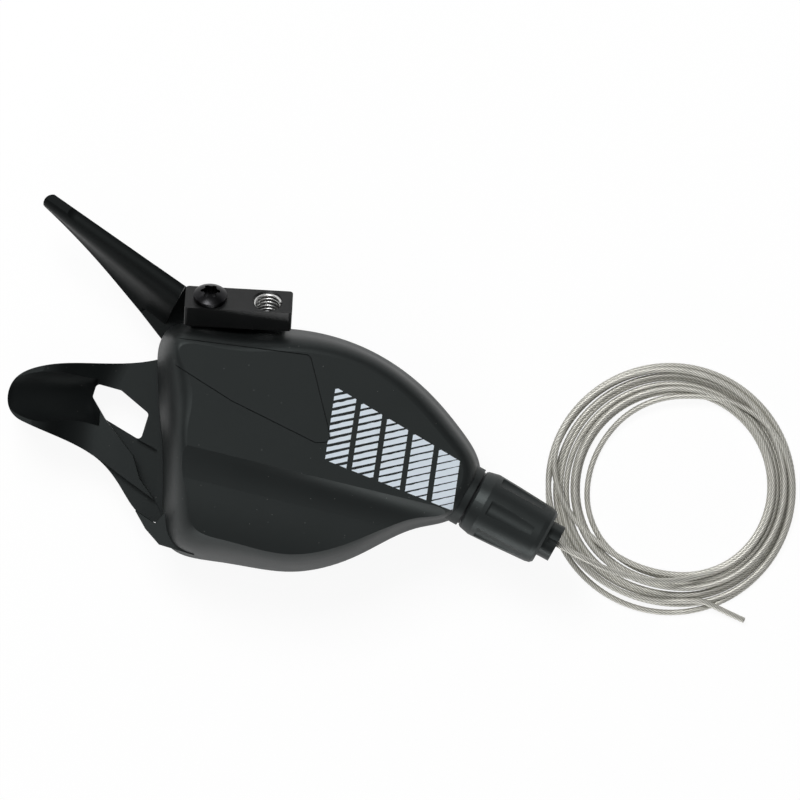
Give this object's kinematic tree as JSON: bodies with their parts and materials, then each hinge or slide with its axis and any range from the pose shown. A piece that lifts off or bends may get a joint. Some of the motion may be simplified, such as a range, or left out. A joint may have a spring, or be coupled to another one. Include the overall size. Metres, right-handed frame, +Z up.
{
  "type": "trigger gear shifter",
  "caption": "Bicycle thumb shifter with a moulded cover, pull and release levers, clamp bracket, barrel adjuster and a bare coiled shift cable.",
  "frame": {"origin": "on the spindle's axis, at the underside of the lower cover that the part rests on", "axes": "+X towards the cable's side, the longest extent; +Y towards the clamp bracket; +Z up along the spindle"},
  "size_m": [0.15, 0.0812, 0.0312],
  "materials": {
    "cover_plastic": "fine moulded grain, satin black",
    "lower_plastic": "fine moulded grain, satin black",
    "hatch_plastic": "fine moulded grain, satin black",
    "lever_plastic": "smooth satin black",
    "blade_alloy": "satin black",
    "bracket_alloy": "black anodised",
    "bolt_steel": "black oxide",
    "screw_steel": "zinc plated",
    "plate_steel": "pressed steel",
    "shaft_steel": "turned steel",
    "pawl_steel": "hardened steel",
    "spool_plastic": "moulded acetal",
    "bush_plastic": "moulded acetal",
    "spring_steel": "drawn wire",
    "adjuster_plastic": "fine matt black",
    "sleeve_plastic": "smooth black",
    "cable_steel": "stranded stainless steel"
  },
  "bodies": {
    "housing": {"upper_cover": "cover_plastic", "lower_cover": "lower_plastic", "base_plate": "plate_steel", "clamp_bracket": "bracket_alloy", "bracket_bolt": "bolt_steel", "bracket_screws": "screw_steel", "cover_screws": "screw_steel", "spindle": "shaft_steel", "spindle_nut": "shaft_steel", "spindle_washer": "plate_steel", "spacer_washer": "plate_steel", "spindle_clip": "plate_steel", "cable_inner": "cable_steel", "hold_pawl_pin": "shaft_steel", "hold_pawl_spring": "spring_steel", "spool_spring": "spring_steel", "release_spring": "spring_steel", "lever_spring": "spring_steel", "adjuster_washer": "plate_steel", "cable_lead": "cable_steel", "cable_coil": "cable_steel", "cable_tail": "cable_steel"},
    "hatch": {"cable_hatch": "hatch_plastic"},
    "spool": {"cable_spool": "spool_plastic", "ratchet_wheel": "pawl_steel", "spool_bush": "bush_plastic", "cable_head": "cable_steel"},
    "hold_pawl": {"hold_pawl": "pawl_steel"},
    "pull_lever": {"pull_lever": "lever_plastic", "lever_bush": "bush_plastic", "drive_pawl_post": "shaft_steel", "drive_pawl_spring": "spring_steel"},
    "drive_pawl": {"drive_pawl": "pawl_steel"},
    "release_lever": {"release_lever": "blade_alloy", "release_bush": "bush_plastic"},
    "adjuster_knob": {"adjuster_knob": "adjuster_plastic"},
    "adjuster_sleeve": {"adjuster_sleeve": "sleeve_plastic"}
  },
  "joints": [
    {"name": "pull_swing", "type": "hinge", "parent": "housing", "child": "pull_lever", "pos_m": [0, 0, 0.007], "axis": [0, 0, 1], "range_deg": [0, 55], "stiffness_Nm_per_rad": 0.05, "springref_deg": -34.38},
    {"name": "release_swing", "type": "hinge", "parent": "housing", "child": "release_lever", "pos_m": [0, 0, 0.0105], "axis": [0, 0, 1], "range_deg": [0, 14], "stiffness_Nm_per_rad": 0.05, "springref_deg": -28.65},
    {"name": "spool_turn", "type": "hinge", "parent": "housing", "child": "spool", "pos_m": [0, 0, 0.01895], "axis": [0, 0, 1], "range_deg": [0, 200], "stiffness_Nm_per_rad": 0.01, "springref_deg": -114.59},
    {"name": "hold_lift", "type": "hinge", "parent": "housing", "child": "hold_pawl", "pos_m": [0.01953, 0.00801, 0.0157], "axis": [0, 0, -1], "range_deg": [0, 10]},
    {"name": "drive_drop", "type": "hinge", "parent": "pull_lever", "child": "drive_pawl", "pos_m": [0.00612, -0.01682, 0.0157], "axis": [0, 0, 1], "range_deg": [0, 5]},
    {"name": "knob_turn", "type": "hinge", "parent": "housing", "child": "adjuster_knob", "pos_m": [0.03832, -0.00899, 0.01895], "axis": [0.878, -0.4787, 0], "range_deg": [0, 1440]},
    {"name": "sleeve_travel", "type": "slide", "parent": "housing", "child": "adjuster_sleeve", "axis": [0.878, -0.4787, 0], "range_m": [0, 0.0032]},
    {"name": "hatch_lift", "type": "slide", "parent": "housing", "child": "hatch", "axis": [0, 0, 1], "range_m": [0, 0.01]}
  ],
  "couplings": [
    {"joint": "hold_lift", "follows": "release_swing", "ratio": 0.71419},
    {"joint": "knob_turn", "follows": "sleeve_travel", "rad_per_m": 7854}
  ]
}
